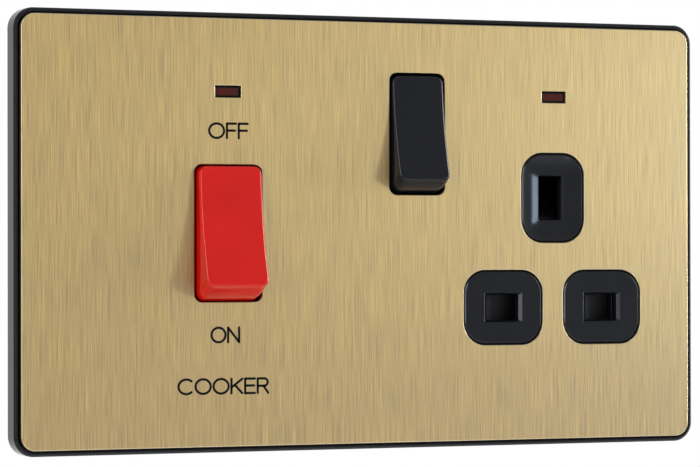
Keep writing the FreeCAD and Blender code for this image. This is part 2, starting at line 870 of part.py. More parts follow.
def pole_strap(x, start, side):
    """Strap from a pole's base plane to the face of its terminal, up or down."""
    near = strap_front + metal / 2
    far = terminal_front - metal / 2
    crank = terminal_inner - terminal_chamfer
    path = [V(x - strap_width / 2, near, start),
            V(x - strap_width / 2, near, side * (crank - 2 * (far - near))),
            V(x - strap_width / 2, far, side * crank),
            V(x - strap_width / 2, far, side * (terminal_z + terminal_length / 4))]
    return bent_strip(path, metal, V(strap_width, 0, 0))


def supply_bracket(x):
    """Bracket under one pole of the cooker switch, with its strap down to the supply."""
    solid = pole_strap(x, cooker_z + bracket_reach, -1)
    solid = solid.fuse(bracket_ears(x, cooker_z) + [bracket_base(x, cooker_z)])
    return solid.cut(ear_notches(x, cooker_z)).removeSplitter()


def fixed_pad(x, z):
    return block(around(x, pad_half), (strap_front - fixed_pad_height, strap_front),
                 around(z, pad_half))


def load_contact(x):
    """Fixed contact of one pole of the cooker switch, with its strap up to the load."""
    z = cooker_z + fixed_pad_offset
    strap = pole_strap(x, z - strap_width / 2, 1)
    return strap.fuse(fixed_pad(x, z)).removeSplitter()


def grip_clip(centre, front, base, grip, across):
    """Folded clip that grips a pin from both sides along the vector grip."""
    half = [(grip_flare_half, front), (grip_half, front + grip_lead_in),
            (grip_body_half, front + grip_reach), (grip_body_half, base)]
    path = [centre + grip * -reach + ALONG_Y * y - across / 2 for reach, y in half]
    path += [centre + grip * reach + ALONG_Y * y - across / 2 for reach, y in half[::-1]]
    return bent_strip(path, metal, across)


def pin_clip(x):
    return grip_clip(V(x, 0, pin_row_z), grip_front, strap_front + metal / 2, ALONG_Z,
                     V(grip_width, 0, 0))


def line_busbar():
    """Strap from the supply line terminal to the socket's switch, with the switch's bracket."""
    half = strap_width / 2
    ends = (line_terminal_x() - strap_width, line_terminal_x() + strap_width)
    low = -terminal_inner + metal / 2
    path = [V(ends[0], busbar_front, low), V(ends[1], busbar_front, low),
            V(ends[1] + half, busbar_front, busbar_z),
            V(switch_x + half, busbar_front, busbar_z)]
    run = bent_strip(path, metal, V(0, busbar_width, 0))
    near = strap_front + metal / 2
    rise = [V(switch_x - half, near, switch_z + bracket_reach), V(switch_x - half, near, busbar_z),
            V(switch_x - half, busbar_front + busbar_width, busbar_z)]
    upright = bent_strip(rise, metal, V(strap_width, 0, 0))
    parts = [upright, bracket_base(switch_x, switch_z)] + bracket_ears(switch_x, switch_z)
    return run.fuse(parts).cut(ear_notches(switch_x, switch_z)).removeSplitter()


def socket_line_contact():
    """Fixed contact of the socket's switch, its run across and down, and the line pin's clip."""
    half = strap_width / 2
    sheet = (strap_front, strap_y)
    z = switch_z + fixed_pad_offset
    clip_half = grip_body_half + metal / 2
    parts = [
        block(around(switch_x, half), sheet, (z - half, line_run_z + half)),
        block((switch_x - half, line_riser_x + half), sheet, around(line_run_z, half)),
        block(around(line_riser_x, half), sheet, (pin_row_z - clip_half, line_run_z + half)),
        block((line_riser_x - half, line_x + grip_width / 2), sheet,
              around(pin_row_z, clip_half)),
        pin_clip(line_x),
    ]
    return fixed_pad(switch_x, z).fuse(parts).removeSplitter()


def socket_neutral_contact():
    """Neutral pin's clip with its foot on the neutral busbar."""
    foot = block(around(neutral_x, strap_width / 2), (strap_front, strap_y),
                 (neutral_bar_z - busbar_width / 2, pin_row_z))
    return pin_clip(neutral_x).fuse(foot).removeSplitter()


def neutral_busbar():
    """Strap from the supply neutral terminal to the socket's neutral contact."""
    start = neutral_pole_x + strap_width / 2 + barrier / 2
    edge = neutral_terminal_x() + terminal_width / 2
    far = terminal_front - metal / 2
    near = strap_y + metal / 2
    low = neutral_bar_z - busbar_width / 2
    path = [V(start, far, low), V(edge, far, low), V(edge + metal, near, low),
            V(neutral_x + strap_width / 2, near, low)]
    return bent_strip(path, metal, V(0, 0, busbar_width))


def socket_earth_contact():
    return grip_clip(V(socket_x, 0, earth_z), earth_grip_front, back_y - metal / 2, ALONG_X,
                     V(0, 0, earth_grip_width))


def earth_strap():
    """Strap that joins both earth terminals and the socket's earth contact."""
    start = earth_terminal_x - terminal_width / 4
    level = terminal_inner - metal / 2
    leaf = socket_x - grip_body_half - metal
    top = earth_z + earth_grip_width / 2
    across = V(0, back_y - earth_strap_front, 0)
    y = earth_strap_front
    run = [V(start, y, -level), V(earth_riser_x, y, -level), V(earth_riser_x, y, earth_run_z),
           V(leaf, y, earth_run_z), V(leaf, y, top)]
    link = [V(start, y, level), V(earth_link_x, y, level), V(earth_link_x, y, -level)]
    return bent_strip(run, metal, across).fuse(bent_strip(link, metal, across)).removeSplitter()


def contact_nodes():
    seesaw = rocking_contact()
    return {
        "cooker_line_rocking_contact": tilted(seesaw, line_pole_x, cooker_z, contact_tilt,
                                              contact_pivot_depth),
        "cooker_neutral_rocking_contact": tilted(seesaw, neutral_pole_x, cooker_z, contact_tilt,
                                                 contact_pivot_depth),
        "socket_rocking_contact": tilted(seesaw, switch_x, switch_z, contact_tilt,
                                         contact_pivot_depth),
        "supply_line_bracket": supply_bracket(line_pole_x),
        "supply_neutral_bracket": supply_bracket(neutral_pole_x),
        "load_line_contact": load_contact(line_pole_x),
        "load_neutral_contact": load_contact(neutral_pole_x),
        "line_busbar": line_busbar(),
        "neutral_busbar": neutral_busbar(),
        "socket_line_contact": socket_line_contact(),
        "socket_neutral_contact": socket_neutral_contact(),
        "socket_earth_contact": socket_earth_contact(),
        "earth_strap": earth_strap(),
    }


# Terminals

def line_terminal_x():
    return cooker_x - terminal_offset


def neutral_terminal_x():
    return cooker_x + terminal_offset


def terminal_places():
    """Name, X and side along Z of each cable terminal."""
    return [
        ("supply_line_terminal", line_terminal_x(), -1),
        ("supply_neutral_terminal", neutral_terminal_x(), -1),
        ("supply_earth_terminal", earth_terminal_x, -1),
        ("load_line_terminal", line_terminal_x(), 1),
        ("load_neutral_terminal", neutral_terminal_x(), 1),
        ("load_earth_terminal", earth_terminal_x, 1),
    ]


def terminal(x, side):
    """Brass block with a square cable way along Z and a screw hole from behind."""
    z = side * terminal_z
    solid = block(around(x, terminal_width / 2), (terminal_front, back_y),
                  around(z, terminal_length / 2))
    upright = [edge for edge in solid.Edges if edge.BoundBox.ZLength > terminal_length / 2]
    solid = solid.makeChamfer(terminal_chamfer, upright)
    way = block(around(x, cable_half), around(cable_y, cable_half),
                around(z, terminal_length / 2))
    hole = rod(terminal_screw_radius + running_clearance, V(x, cable_y, z), V(x, back_y, z))
    return solid.cut([way, hole]).removeSplitter()


def driver_slot(x, z, radius, top):
    """Slot across the end of a screw, for a flat driver."""
    return block(around(x, radius), (top - slot_depth, top), around(z, slot_half))


def terminal_screws():
    """Headless screws that clamp the cables, driven from behind."""
    top = back_y + terminal_screw_stand
    screws = []
    for name, x, side in terminal_places():
        z = side * terminal_z
        screw = rod(terminal_screw_radius, V(x, back_y - terminal_screw_tip, z), V(x, top, z))
        screws.append(screw.cut(driver_slot(x, z, terminal_screw_radius, top)))
    return Part.makeCompound(screws)


def assembly_screws():
    """Headed screws that hold the housing to the frame."""
    top = pillar_seat + assembly_head_height
    screws = []
    for x, z in screw_places():
        shank = rod(assembly_screw_radius, V(x, pillar_seat - assembly_screw_length, z),
                    V(x, pillar_seat, z))
        head = rod(assembly_head_radius, V(x, pillar_seat, z), V(x, top, z))
        head = head.cut(driver_slot(x, z, assembly_head_radius, top))
        screws.append(shank.fuse(head))
    return Part.makeCompound(screws)


# Shutter

def shutter():
    """Sliding shutter that covers line and neutral until the earth pin pushes its ramp down."""
    back = shutter_front + shutter_thickness
    depth = (shutter_front, back)
    low = pin_row_z - shutter_bottom
    high = pin_row_z + slot_height / 2 + shutter_overlap
    ramp_foot = earth_z - earth_slot_height / 2 + ramp_gap
    ramp_head = ramp_foot + shutter_travel
    plate = block(around(socket_x, shutter_half_width), depth, (low, high))
    stem = block(around(socket_x, shutter_stem_half), depth, (high, ramp_foot))
    profile = [(shutter_front, ramp_foot), (shutter_front + ramp_depth, ramp_head),
               (shutter_front + ramp_depth + ramp_back, ramp_head),
               (back, ramp_foot - shutter_travel)]
    points = [V(socket_x - ramp_half_width, y, z) for y, z in profile + profile[:1]]
    ramp = Part.Face(Part.makePolygon(points)).extrude(V(2 * ramp_half_width, 0, 0))
    peg = block(around(socket_x, spring_peg_half), depth, (low - spring_peg_length, low))
    return plate.fuse([stem, ramp, peg]).removeSplitter()


def shutter_spring():
    length = pin_row_z - shutter_bottom - spring_ledge_z
    spring = coil_spring(shutter_spring_radius, shutter_spring_wire, length, shutter_spring_coils)
    spring.translate(V(socket_x, spring_axis_y(), spring_ledge_z))
    return spring


# Indicators

def neon_lens(x, z):
    """Tinted lens that stands in the plate's window and rests on the frame's floor."""
    window = block(around(x, neon_width / 2 - lens_gap), (face_y + lens_recess, floor_y),
                   around(z, neon_height / 2 - lens_gap))
    flange = block(around(x, lens_flange_width / 2), (floor_y, floor_y + lens_flange),
                   around(z, lens_flange_height / 2))
    return window.fuse(flange).removeSplitter()


def lamp_y():
    return floor_y + lens_flange + lamp_gap + lamp_radius


def neon_lamp(x, z):
    """Glass tube of the lamp, lying along X behind its lens, with its pinched tip."""
    reach = lamp_length / 2
    tube = rod(lamp_radius, V(x - reach, lamp_y(), z), V(x + reach - lamp_tip, lamp_y(), z))
    tip = block((x + reach - lamp_tip, x + reach), around(lamp_y(), 2 * lead_half),
                around(z, lead_half))
    return tube.fuse(tip)


def neon_resistors():
    """Lead and series resistor behind each lamp."""
    solids = []
    start = lamp_y() + lamp_radius
    for x, z in neon_places():
        body = rod(resistor_radius, V(x, start + resistor_gap, z),
                   V(x, start + resistor_gap + resistor_length, z))
        wire = block(around(x, lead_half), (start + lead_half / 2, strap_front - lead_end),
                     around(z, lead_half))
        solids.append(body.fuse(wire).removeSplitter())
    return Part.makeCompound(solids)


# Rear housing

def lug_notch(wall):
    """Notch that clears the wall box's screw lug, grown by a wall."""
    return block((notch_left - wall, housing_right), (floor_y, housing_depth),
                 around(0, notch_half + wall))


def housing_shell():
    """Outer walls and back of the housing, open to the front."""
    middle = (housing_left + housing_right) / 2
    shell = rounded_block(middle, 0, housing_width, 2 * housing_half, housing_corner, floor_y,
                          housing_depth)
    shell = shell.cut(lug_notch(0))
    shell = shell.makeChamfer(housing_chamfer, front_edges(shell, housing_depth))
    inside = block((housing_left + housing_wall, housing_right - housing_wall),
                   (floor_y, back_y), around(0, inner_half))
    return shell.cut(inside.cut(lug_notch(housing_wall)))


def barriers():
    """Walls that keep the poles and the sections apart."""
    walls = []
    bottom = (-inner_half, -terminal_inner - barrier)
    sections = [(cooker_x, contact_pivot_depth + 2 * barrier), (terminal_divide_x(), barrier_front),
                (switch_x - switch_window_width / 2 - barrier / 2, barrier_front)]
    for x, front in sections:
        walls.append(block(around(x, barrier / 2), (front, back_y), (barrier_bottom, inner_half)))
    for x in (cooker_x, terminal_divide_x()):
        walls.append(block(around(x, barrier / 2), (terminal_front, back_y), bottom))
    right_x = switch_x + switch_window_width / 2 + barrier
    wall = block(around(right_x, barrier / 2), (barrier_front, back_y),
                 (barrier_bottom, line_run_z - strap_width))
    notch = block(around(right_x, barrier), (earth_strap_front - metal, back_y),
                  around(earth_run_z, 2 * metal))
    walls.append(wall.cut(notch))
    return walls


def terminal_divide_x():
    """Midway between the neutral and earth terminals."""
    return (neutral_terminal_x() + earth_terminal_x) / 2


def contact_posts():
    """Posts on the back wall that the brackets and contacts rest on."""
    places = [(line_pole_x, cooker_z), (neutral_pole_x, cooker_z), (switch_x, switch_z)]
    posts = []
    for x, z in places:
        posts.append((x, z))
        posts.append((x, z + fixed_pad_offset))
    posts += [(line_x, pin_row_z), (neutral_x, pin_row_z)]
    return [block(around(x, post_half), (strap_y, back_y), around(z, post_half)) for x, z in posts]


def pillars():
    return [block(around(x, pillar_half), (pillar_front, back_y), around(z, pillar_half))
            for x, z in screw_places() + peg_places()]


def pillar_cuts():
    """Screw ways in two pillars and sockets for the locating pegs in the others."""
    cuts = []
    for x, z in peg_places():
        cuts.append(block(around(x, peg_half + guide_gap),
                          (pillar_front, pillar_front + peg_length + guide_gap),
                          around(z, peg_half + guide_gap)))
    for x, z in screw_places():
        cuts.append(rod(assembly_screw_radius + 4 * running_clearance, V(x, pillar_front, z),
                        V(x, pillar_seat, z)))
        cuts.append(rod(assembly_head_radius + island_gap, V(x, pillar_seat, z),
                        V(x, housing_depth, z)))
    return cuts


def terminal_cuts():
    """Cable entries in the top and bottom walls and screw windows in the back."""
    cuts = []
    for name, x, side in terminal_places():
        reach = cable_half + entry_gap
        cuts.append(block(around(x, reach), around(cable_y, reach),
                          sorted((side * (inner_half - barrier), side * (housing_half + barrier)))))
        cuts.append(block(around(x, screw_access_half), (back_y, housing_depth),
                          around(side * terminal_z, screw_access_half)))
    return cuts


def rear_housing():
    solid = housing_shell().fuse(barriers() + contact_posts() + pillars())
    return solid.cut(pillar_cuts() + terminal_cuts()).removeSplitter()


def all_nodes():
    nodes = {
        "front_plate": front_plate(),
        "plate_clips": plate_clips(),
        "mounting_frame": mounting_frame(),
        "rear_housing": rear_housing(),
        "assembly_screws": assembly_screws(),
        "shutter": shutter(),
        "shutter_spring": shutter_spring(),
        "cooker_neon_lens": neon_lens(cooker_x, cooker_neon_z),
        "socket_neon_lens": neon_lens(socket_neon_x, socket_neon_z),
        "cooker_neon_lamp": neon_lamp(cooker_x, cooker_neon_z),
        "socket_neon_lamp": neon_lamp(socket_neon_x, socket_neon_z),
        "neon_resistors": neon_resistors(),
        "terminal_screws": terminal_screws(),
    }
    nodes.update(rocker_nodes())
    nodes.update(contact_nodes())
    for name, x, side in terminal_places():
        nodes[name] = terminal(x, side)
    return nodes


os.makedirs("parts", exist_ok=True)
for node_name, shape in all_nodes().items():
    shape.exportStep("parts/" + node_name + ".step")
    print(node_name, len(shape.Solids), shape.isValid(), round(shape.Volume, 1))
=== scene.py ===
import json
import math

import bmesh
import bpy
from mathutils import Matrix, Vector


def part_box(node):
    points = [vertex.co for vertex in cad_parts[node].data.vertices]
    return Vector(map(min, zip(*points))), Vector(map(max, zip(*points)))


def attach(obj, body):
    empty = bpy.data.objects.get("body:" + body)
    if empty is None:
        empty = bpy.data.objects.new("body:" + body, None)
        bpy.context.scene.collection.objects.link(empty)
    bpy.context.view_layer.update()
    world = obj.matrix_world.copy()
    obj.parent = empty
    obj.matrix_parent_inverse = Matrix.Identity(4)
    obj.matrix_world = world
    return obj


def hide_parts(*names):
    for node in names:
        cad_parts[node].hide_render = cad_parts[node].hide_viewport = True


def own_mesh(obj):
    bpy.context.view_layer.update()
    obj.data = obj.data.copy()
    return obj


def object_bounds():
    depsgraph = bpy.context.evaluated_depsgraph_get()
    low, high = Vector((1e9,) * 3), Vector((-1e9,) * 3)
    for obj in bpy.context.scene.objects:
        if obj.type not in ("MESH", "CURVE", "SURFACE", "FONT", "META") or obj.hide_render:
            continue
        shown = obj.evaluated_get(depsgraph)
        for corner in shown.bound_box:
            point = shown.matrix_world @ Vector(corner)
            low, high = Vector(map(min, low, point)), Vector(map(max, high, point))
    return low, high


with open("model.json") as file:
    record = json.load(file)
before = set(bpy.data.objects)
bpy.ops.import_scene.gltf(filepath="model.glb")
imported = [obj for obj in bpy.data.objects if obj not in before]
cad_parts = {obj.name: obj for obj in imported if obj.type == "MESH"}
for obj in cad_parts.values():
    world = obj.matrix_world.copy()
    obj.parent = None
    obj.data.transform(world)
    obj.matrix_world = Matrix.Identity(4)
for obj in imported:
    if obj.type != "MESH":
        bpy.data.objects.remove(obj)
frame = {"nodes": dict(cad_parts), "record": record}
cadLow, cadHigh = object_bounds()
nodes = frame["nodes"]
mm = 0.001
print("frame loaded:", len(nodes), "nodes")


# shader helpers

noiseRange = (0.3, 0.7)         # nearly all noise lies between these
bevelSamples = 6


def newMaterial(name):
    material = bpy.data.materials.new(name)
    material.use_nodes = True
    tree = material.node_tree
    return material, tree, tree.nodes["Principled BSDF"]


def addNode(tree, kind, settings=None, inputs=None):
    node = tree.nodes.new(kind)
    for key, value in (settings or {}).items():
        setattr(node, key, value)
    for key, value in (inputs or {}).items():
        node.inputs[key].default_value = value
    return node


def stretchedNoise(tree, scale, detail=2.0, rough=0.5, shift=(0, 0, 0)):
    place = addNode(tree, "ShaderNodeTexCoord")
    mapping = addNode(tree, "ShaderNodeMapping", None, {"Scale": scale, "Location": shift})
    noise = addNode(tree, "ShaderNodeTexNoise", None,
                    {"Scale": 1.0, "Detail": detail, "Roughness": rough})
    tree.links.new(place.outputs["Object"], mapping.inputs["Vector"])
    tree.links.new(mapping.outputs["Vector"], noise.inputs["Vector"])
    return noise.outputs["Fac"]


def evenNoise(tree, scale, **settings):
    return stretchedNoise(tree, (scale, scale, scale), **settings)


def tinted(tree, source, dark, light, stops=noiseRange):
    node = addNode(tree, "ShaderNodeValToRGB")
    for element, position, colour in zip(node.color_ramp.elements, stops, (dark, light)):
        element.position = position
        element.color = (*colour, 1)
    tree.links.new(source, node.inputs["Fac"])
    return node.outputs["Color"]


def spread(tree, source, low, high, start=noiseRange[0], end=noiseRange[1]):
    node = addNode(tree, "ShaderNodeMapRange", None,
                   {"From Min": start, "From Max": end, "To Min": low, "To Max": high})
    tree.links.new(source, node.inputs["Value"])
    return node.outputs["Result"]


def maths(tree, operation, sources, inputs=None):
    node = addNode(tree, "ShaderNodeMath", {"operation": operation}, inputs)
    for source, socket in zip(sources, node.inputs):
        tree.links.new(source, socket)
    return node.outputs["Value"]


def splitVector(tree, source):
    node = addNode(tree, "ShaderNodeSeparateXYZ")
    tree.links.new(source, node.inputs["Vector"])
    return node.outputs


def mixValues(tree, first, second, share):
    node = addNode(tree, "ShaderNodeMix", {"data_type": "FLOAT"}, {"Factor": share})
    tree.links.new(first, node.inputs["A"])
    tree.links.new(second, node.inputs["B"])
    return node.outputs["Result"]


blendSockets = {"FLOAT": (2, 3, 0), "RGBA": (6, 7, 2)}      # the two inputs and the output


def blend(tree, kind, share, first, second):
    firstInput, secondInput, output = blendSockets[kind]
    constant = (*second, 1) if kind == "RGBA" else second
    node = addNode(tree, "ShaderNodeMix", {"data_type": kind}, {secondInput: constant})
    tree.links.new(share, node.inputs["Factor"])
    tree.links.new(first, node.inputs[firstInput])
    return node.outputs[output]


def relief(tree, shader, height, depth, edge=0.0):
    bump = addNode(tree, "ShaderNodeBump", None, {"Distance": depth, "Strength": 1.0})
    tree.links.new(height, bump.inputs["Height"])
    if edge > 0:
        bevel = addNode(tree, "ShaderNodeBevel", {"samples": bevelSamples}, {"Radius": edge})
        tree.links.new(bevel.outputs["Normal"], bump.inputs["Normal"])
    tree.links.new(bump.outputs["Normal"], shader.inputs["Normal"])


def scaled(colour, factor):
    return tuple(channel * factor for channel in colour)


# brushed front plate

plateFinish = {
    "base": (0.262, 0.1695, 0.0425),
    "fineGrain": {"scale": (7400.0, 400.0, 110.0), "detail": 3.0, "rough": 0.6},
    "longGrain": {"scale": (5200.0, 240.0, 40.0), "shift": (0.3, 0, 0.1)},
    "longShare": 0.25,
    "contrast": 0.38,
    "stops": (0.35, 0.65),                  # of the grain, for the darkest and lightest streaks
    "roughness": (0.36, 0.46),
    "anisotropy": 0.75,
    "grooveDepth": 0.012 * mm,
    "coat": 1.0,
    "coatIor": 1.75,
    "coatRoughness": 0.36,
    "edge": (0.31, 0.24, 0.12),             # the polished bevel round every opening, painted lighter and paler than the brushed face: a painted highlight along the edges
    "edgeRoughness": 0.30,
    "bevelSlope": (0.95, 0.995),            # the normal's depth part, on a bevel and on a flat face
}


def bevelShare(tree):                       # 0 on the flat faces, 1 on the bevels
    place = addNode(tree, "ShaderNodeNewGeometry")
    depth = maths(tree, "ABSOLUTE", [splitVector(tree, place.outputs["True Normal"])["Y"]])
    return spread(tree, depth, 1.0, 0.0, *plateFinish["bevelSlope"])


def brushedPlateMaterial():
    look = plateFinish
    material, tree, shader = newMaterial("brushedPlate")
    fine = stretchedNoise(tree, **look["fineGrain"])
    broad = stretchedNoise(tree, **look["longGrain"])
    grain = mixValues(tree, fine, broad, look["longShare"])
    dark = scaled(look["base"], 1 - look["contrast"])
    light = scaled(look["base"], 1 + look["contrast"])
    edge = bevelShare(tree)
    shade = tinted(tree, grain, dark, light, look["stops"])
    rough = spread(tree, fine, *look["roughness"])
    # the bevels take the lighter, paler edge colour, a painted highlight, and the smoother polish
    # of the edge roughness
    tree.links.new(blend(tree, "RGBA", edge, shade, look["edge"]), shader.inputs["Base Color"])
    tree.links.new(blend(tree, "FLOAT", edge, rough, look["edgeRoughness"]),
                   shader.inputs["Roughness"])
    shader.inputs["Metallic"].default_value = 1.0
    shader.inputs["Anisotropic"].default_value = look["anisotropy"]
    shader.inputs["Coat Weight"].default_value = look["coat"]
    shader.inputs["Coat IOR"].default_value = look["coatIor"]
    shader.inputs["Coat Roughness"].default_value = look["coatRoughness"]
    tangent = addNode(tree, "ShaderNodeTangent", {"direction_type": "RADIAL", "axis": "Z"})
    tree.links.new(tangent.outputs["Tangent"], shader.inputs["Tangent"])
    relief(tree, shader, grain, look["grooveDepth"])
    return material


# moulded plastics

mouldings = {
    "black_moulding": {"base": (0.0034, 0.0038, 0.0056), "roughness": (0.16, 0.20),
                       "specular": 0.18, "grain": 5200.0, "depth": 0.0022 * mm, "edge": 0.22 * mm},
    "housing_moulding": {"base": (0.012, 0.012, 0.0135), "roughness": (0.48, 0.58),
                         "specular": 0.35, "grain": 3000.0, "depth": 0.006 * mm, "edge": 0.2 * mm},
    "black_rocker": {"base": (0.0040, 0.0044, 0.0064), "roughness": (0.10, 0.12),
                     "specular": 0.15, "grain": 5200.0, "depth": 0.0016 * mm, "edge": 0.0},
    "red_rocker": {"base": (0.395, 0.0038, 0.0020), "roughness": (0.10, 0.12),
                   "specular": 0.20, "grain": 2600.0, "depth": 0.0016 * mm, "edge": 0.0},
    "shutter_moulding": {"base": (0.004, 0.004, 0.0045), "roughness": (0.40, 0.50),
                         "specular": 0.25, "grain": 3000.0, "depth": 0.004 * mm, "edge": 0.2 * mm},
    "plunger_moulding": {"base": (0.62, 0.60, 0.54), "roughness": (0.38, 0.46),
                         "specular": 0.5, "grain": 3000.0, "depth": 0.004 * mm, "edge": 0.1 * mm},
    "resistor_body": {"base": (0.36, 0.26, 0.15), "roughness": (0.35, 0.45),
                      "specular": 0.5, "grain": 2500.0, "depth": 0.006 * mm, "edge": 0.1 * mm},
}
mouldingNoise = {
    "grain": {"detail": 3.0, "rough": 0.55},
    "cloud": {"scale": 140.0, "shift": (0.2, 0.1, 0.4)},
    "shades": (0.94, 1.06),     # of the base colour
}


def mouldedMaterial(name):
    look = mouldings[name]
    material, tree, shader = newMaterial(name)
    grain = evenNoise(tree, look["grain"], **mouldingNoise["grain"])
    cloud = evenNoise(tree, **mouldingNoise["cloud"])
    dark, light = (scaled(look["base"], factor) for factor in mouldingNoise["shades"])
    tree.links.new(tinted(tree, cloud, dark, light), shader.inputs["Base Color"])
    tree.links.new(spread(tree, cloud, *look["roughness"]), shader.inputs["Roughness"])
    shader.inputs["Specular IOR Level"].default_value = look["specular"]
    relief(tree, shader, grain, look["depth"], look["edge"])
    return material


# metals inside

metals = {
    "terminal_brass": {"base": (0.62, 0.44, 0.17), "roughness": (0.24, 0.36),
                       "grain": (400.0, 400.0, 3000.0)},
    "contact_strip": {"base": (0.66, 0.42, 0.20), "roughness": (0.26, 0.38),
                      "grain": (2600.0, 2600.0, 300.0)},
    "spring_steel": {"base": (0.56, 0.56, 0.57), "roughness": (0.22, 0.34),
                     "grain": (1500.0, 1500.0, 1500.0)},
    "plated_screw": {"base": (0.60, 0.58, 0.50), "roughness": (0.26, 0.38),
                     "grain": (2200.0, 600.0, 2200.0)},
}
metalNoise = {
    "marks": {"detail": 3.0, "rough": 0.6},
    "stain": {"scale": 160.0, "detail": 3.0, "rough": 0.55, "shift": (0.5, 0.2, 0.1)},
    "stainShare": 0.6,
    "shades": (0.85, 1.1),      # of the base colour
    "depth": 0.006 * mm,
    "edge": 0.12 * mm,
}


def metalMaterial(name):
    look = metals[name]
    material, tree, shader = newMaterial(name)
    marks = stretchedNoise(tree, look["grain"], **metalNoise["marks"])
    stain = evenNoise(tree, **metalNoise["stain"])
    both = mixValues(tree, marks, stain, metalNoise["stainShare"])
    dark, light = (scaled(look["base"], factor) for factor in metalNoise["shades"])
    tree.links.new(tinted(tree, both, dark, light), shader.inputs["Base Color"])
    tree.links.new(spread(tree, both, *look["roughness"]), shader.inputs["Roughness"])
    shader.inputs["Metallic"].default_value = 1.0
    relief(tree, shader, marks, metalNoise["depth"], metalNoise["edge"])
    return material


# indicator windows and lamps

lensFinish = {
    "red": (0.050, 0.0050, 0.0030),
    "brown": (0.030, 0.0080, 0.0050),
    "clouds": {"scale": 500.0, "detail": 1.0, "shift": (0.13, 0, 0.02)},
    "stops": (0.40, 0.60),                  # of the clouds, for the red and for the brown
    "dots": {"scale": 2400.0, "detail": 1.0},
    "dotDepth": 0.006 * mm,
    "softEdge": 0.1 * mm,
    "roughness": 0.16,
    "specular": 0.15,
    "window": (4.98 * mm, 1.89 * mm),       # of the lens that stands in the plate
    # a rim painted near black round the lens: painted shade of the gap where the lens sits back in
    # its window
    "paintedGapWidth": 0.24 * mm,
    "paintedGapShade": (0.0010, 0.0010, 0.0012),
}


def nearMiddle(tree, share, reach):         # 1 within reach of the middle of the box, else 0
    return maths(tree, "COMPARE", [share], {1: 0.5, 2: reach})


def paintedGapShare(tree):                      # 1 on the rim painted dark as the shade of the gap round the lens, 0 inside
    low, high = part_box("cooker_neon_lens")
    width, height = lensFinish["window"]
    across = (width / 2 - lensFinish["paintedGapWidth"]) / (high.x - low.x)
    upwards = (height / 2 - lensFinish["paintedGapWidth"]) / (high.z - low.z)
    place = addNode(tree, "ShaderNodeTexCoord")
    share = splitVector(tree, place.outputs["Generated"])
    inside = maths(tree, "MULTIPLY", [nearMiddle(tree, share["X"], across),
                                      nearMiddle(tree, share["Z"], upwards)])
    return spread(tree, inside, 1.0, 0.0)


def lensMaterial():
    look = lensFinish
    material, tree, shader = newMaterial("indicator_lens")
    cloud = evenNoise(tree, **look["clouds"])
    colour = tinted(tree, cloud, look["red"], look["brown"], look["stops"])
    # the rim round the lens is painted near black: painted shade of the gap
    tree.links.new(blend(tree, "RGBA", paintedGapShare(tree), colour, look["paintedGapShade"]),
                   shader.inputs["Base Color"])
    dots = evenNoise(tree, **look["dots"])
    shader.inputs["Roughness"].default_value = look["roughness"]
    shader.inputs["Specular IOR Level"].default_value = look["specular"]
    relief(tree, shader, dots, look["dotDepth"], look["softEdge"])
    return material


lampGlass = {
    "clouds": 300.0,
    "colours": ((0.86, 0.84, 0.80), (0.95, 0.93, 0.90)),
    "roughness": (0.04, 0.10),
    "clearness": 0.85,
    "ior": 1.47,
}


def lampGlassMaterial():
    look = lampGlass
    material, tree, shader = newMaterial("lamp_glass")
    cloud = evenNoise(tree, look["clouds"])
    tree.links.new(tinted(tree, cloud, *look["colours"]), shader.inputs["Base Color"])
    tree.links.new(spread(tree, cloud, *look["roughness"]), shader.inputs["Roughness"])
    shader.inputs["Transmission Weight"].default_value = look["clearness"]
    shader.inputs["IOR"].default_value = look["ior"]
    return material


# ink of the printed words

printedInk = {
    "clouds": 2400.0,
    "colours": ((0.003, 0.003, 0.004), (0.006, 0.006, 0.007)),
    "roughness": (0.42, 0.55),
    "specular": 0.05,
}


def printedInkMaterial():
    look = printedInk
    material, tree, shader = newMaterial("printedInk")
    cloud = evenNoise(tree, look["clouds"])
    tree.links.new(tinted(tree, cloud, *look["colours"]), shader.inputs["Base Color"])
    tree.links.new(spread(tree, cloud, *look["roughness"]), shader.inputs["Roughness"])
    shader.inputs["Specular IOR Level"].default_value = look["specular"]
    return material


finishes = {name: mouldedMaterial(name) for name in mouldings}
finishes.update({name: metalMaterial(name) for name in metals})
finishes["brushed_plate"] = brushedPlateMaterial()
finishes["indicator_lens"] = lensMaterial()
finishes["lamp_glass"] = lampGlassMaterial()
finishes["printed_ink"] = printedInkMaterial()


def dressMesh(mesh, finish):
    mesh.materials.clear()
    mesh.materials.append(finishes[finish])


for entry in frame["record"]["subparts"]:
    dressMesh(nodes[entry["node"]].data, entry["material_slot"])
print("finishes made:", len(finishes))


# mesh helpers

def newPiece(name, mesh, finish):
    dressMesh(mesh, finish)
    piece = bpy.data.objects.new(name, mesh)
    bpy.context.scene.collection.objects.link(piece)
    return piece


def pieceFromBmesh(name, shape, finish):
    mesh = bpy.data.meshes.new(name)
    bmesh.ops.recalc_face_normals(shape, faces=shape.faces[:])
    shape.to_mesh(mesh)
    shape.free()
    return newPiece(name, mesh, finish)


def finalMesh(piece):
    bpy.context.view_layer.update()
    graph = bpy.context.evaluated_depsgraph_get()
    return bpy.data.meshes.new_from_object(piece.evaluated_get(graph))


def meshFromCurve(curve):
    holder = bpy.data.objects.new(curve.name + "Curve", curve)
    bpy.context.scene.collection.objects.link(holder)
    mesh = finalMesh(holder)
    bpy.data.objects.remove(holder)
    return mesh


def smoothByAngle(piece, degrees):
    mesh = piece.data
    mesh.shade_smooth()
    mesh.set_sharp_from_angle(angle=math.radians(degrees))
    piece.modifiers.new("evenNormals", "WEIGHTED_NORMAL").keep_sharp = True


def camelName(node):
    first, *rest = node.split("_")
    return first + "".join(word.capitalize() for word in rest)


# front plate

